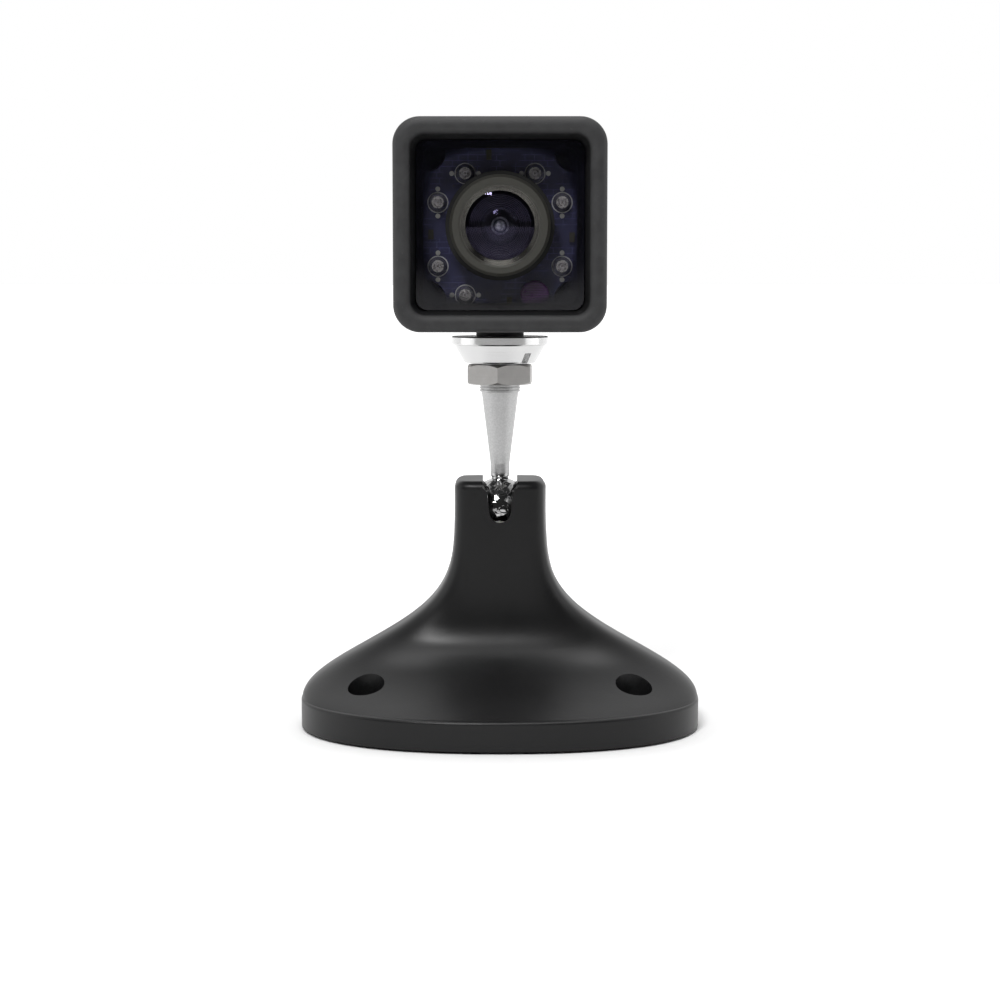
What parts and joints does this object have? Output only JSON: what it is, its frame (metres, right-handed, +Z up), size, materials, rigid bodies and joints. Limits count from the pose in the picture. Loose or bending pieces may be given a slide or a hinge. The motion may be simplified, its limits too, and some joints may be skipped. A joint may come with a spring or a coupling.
{
  "type": "backup camera",
  "caption": "Square backup camera with a visor, infrared lamps and a ball stem, held in the neck of a flared screw-down base.",
  "frame": {"origin": "midpoint between the two mounting-screw holes, on the plane that the foot pad rests on", "axes": "+Z up along the neck and the stem, +X along the line of the screw holes, the lens looks along -Y"},
  "size_m": [0.0706, 0.0569, 0.106],
  "materials": {
    "base_plastic": "satin moulded",
    "zinc_steel": "zinc plated",
    "black_steel": "black oxide",
    "pad_rubber": "soft foam",
    "spring_steel": "ground",
    "nylon": "natural",
    "stem_chrome": "satin chrome",
    "nut_nickel": "nickel plated",
    "flange_chrome": "bright chrome",
    "head_plastic": "soft-touch",
    "seal_rubber": "matt",
    "insert_brass": "machined",
    "window_acrylic": "smoked",
    "ring_anodised": "dark anodised",
    "barrel_black": "matt black",
    "lens_glass": "coated",
    "sensor_chip": "chip",
    "board_green": "solder mask",
    "board_blue": "dark blue solder mask",
    "led_epoxy": "clear epoxy",
    "solder_tin": "tinned",
    "photocell_purple": "tinted epoxy",
    "chip_ceramic": "chip",
    "cell_foil": "foil",
    "button_rubber": "matt",
    "light_guide": "clear",
    "antenna_film": "polyimide film"
  },
  "bodies": {
    "base": {"base_shell": "base_plastic", "base_plate": "zinc_steel", "plate_screws": "black_steel", "foot_pad": "pad_rubber", "pressure_seat": "spring_steel", "disc_springs": "spring_steel", "tension_plug": "zinc_steel"},
    "cup": {"ball_cup": "nylon"},
    "stem": {"ball_stem": "stem_chrome"},
    "nut": {"jam_nut": "nut_nickel"},
    "flange": {"lock_flange": "flange_chrome"},
    "head": {"front_housing": "head_plastic", "housing_gasket": "seal_rubber", "rear_cover": "head_plastic", "cover_screws": "black_steel", "stud_insert": "insert_brass", "window": "window_acrylic", "window_gasket": "seal_rubber", "lens_seal": "seal_rubber", "lens_ring": "ring_anodised", "lens_barrel": "barrel_black", "front_lens": "lens_glass", "middle_lens": "lens_glass", "rear_lens": "lens_glass", "lens_holder": "barrel_black", "image_sensor": "sensor_chip", "sensor_board": "board_green", "board_spacers": "nylon", "led_board": "board_blue", "infrared_leds": "led_epoxy", "led_pads": "solder_tin", "light_sensor": "photocell_purple", "chip_resistors": "chip_ceramic", "main_board": "board_green", "board_header": "barrel_black", "radio_shield": "solder_tin", "battery_pad": "pad_rubber", "battery": "cell_foil", "power_board": "board_green", "charging_jack": "barrel_black", "button_switch": "barrel_black", "indicator_light": "light_guide", "indicator_led": "chip_ceramic", "antenna": "antenna_film"},
    "cap": {"jack_cap": "seal_rubber"},
    "button": {"power_button": "button_rubber"}
  },
  "joints": [
    {"name": "ball_lean", "type": "hinge", "parent": "base", "child": "cup", "pos_m": [0, 0.016, 0.038], "axis": [0, 1, 0], "range_deg": [-8, 8]},
    {"name": "ball_tilt", "type": "hinge", "parent": "cup", "child": "stem", "pos_m": [0, 0.016, 0.038], "axis": [1, 0, 0], "range_deg": [-25, 90]},
    {"name": "head_pan", "type": "hinge", "parent": "stem", "child": "head", "pos_m": [0, 0.016, 0.07], "axis": [0, 0, 1], "continuous": true},
    {"name": "flange_turn", "type": "hinge", "parent": "stem", "child": "flange", "pos_m": [0, 0.016, 0.066], "axis": [0, 0, 1], "continuous": true},
    {"name": "nut_turn", "type": "hinge", "parent": "stem", "child": "nut", "pos_m": [0, 0.016, 0.062], "axis": [0, 0, 1], "continuous": true},
    {"name": "button_press", "type": "slide", "parent": "head", "child": "button", "axis": [0, -1, 0], "range_m": [0, 0.0008], "stiffness_N_per_m": 400},
    {"name": "cap_open", "type": "hinge", "parent": "head", "child": "cap", "pos_m": [0, 0.0394, 0.0871], "axis": [1, 0, 0], "range_deg": [0, 120]}
  ]
}
